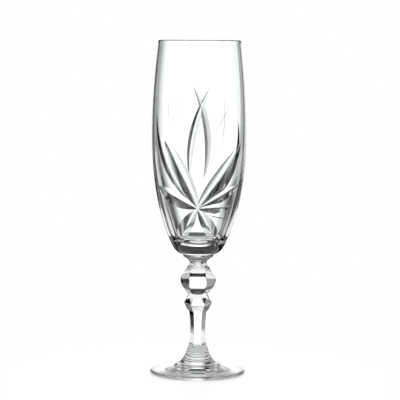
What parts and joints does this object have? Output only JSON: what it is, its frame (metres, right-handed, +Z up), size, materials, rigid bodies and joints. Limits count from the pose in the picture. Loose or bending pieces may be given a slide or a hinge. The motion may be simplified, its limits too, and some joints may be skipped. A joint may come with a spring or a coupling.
{
  "type": "champagne flute",
  "caption": "Tall cut-crystal champagne flute: barrel-shaped bowl with leaf cuts on a panel-cut stem with knops and a round foot.",
  "frame": {"origin": "centre of the ring the foot stands on, on the table plane", "axes": "+Z up along the glass's axis; -Y is the side that the cut motif and one stem panel face; +X to the right seen from there"},
  "size_m": [0.06, 0.06, 0.21],
  "materials": {
    "crystal": "fire-polished lead crystal with acid-polished cuts"
  },
  "bodies": {
    "root": {"foot": "crystal", "stem_shaft": "crystal", "shoulder_knop": "crystal", "ball_knop": "crystal", "bowl_collar": "crystal", "bowl": "crystal"}
  },
  "joints": []
}
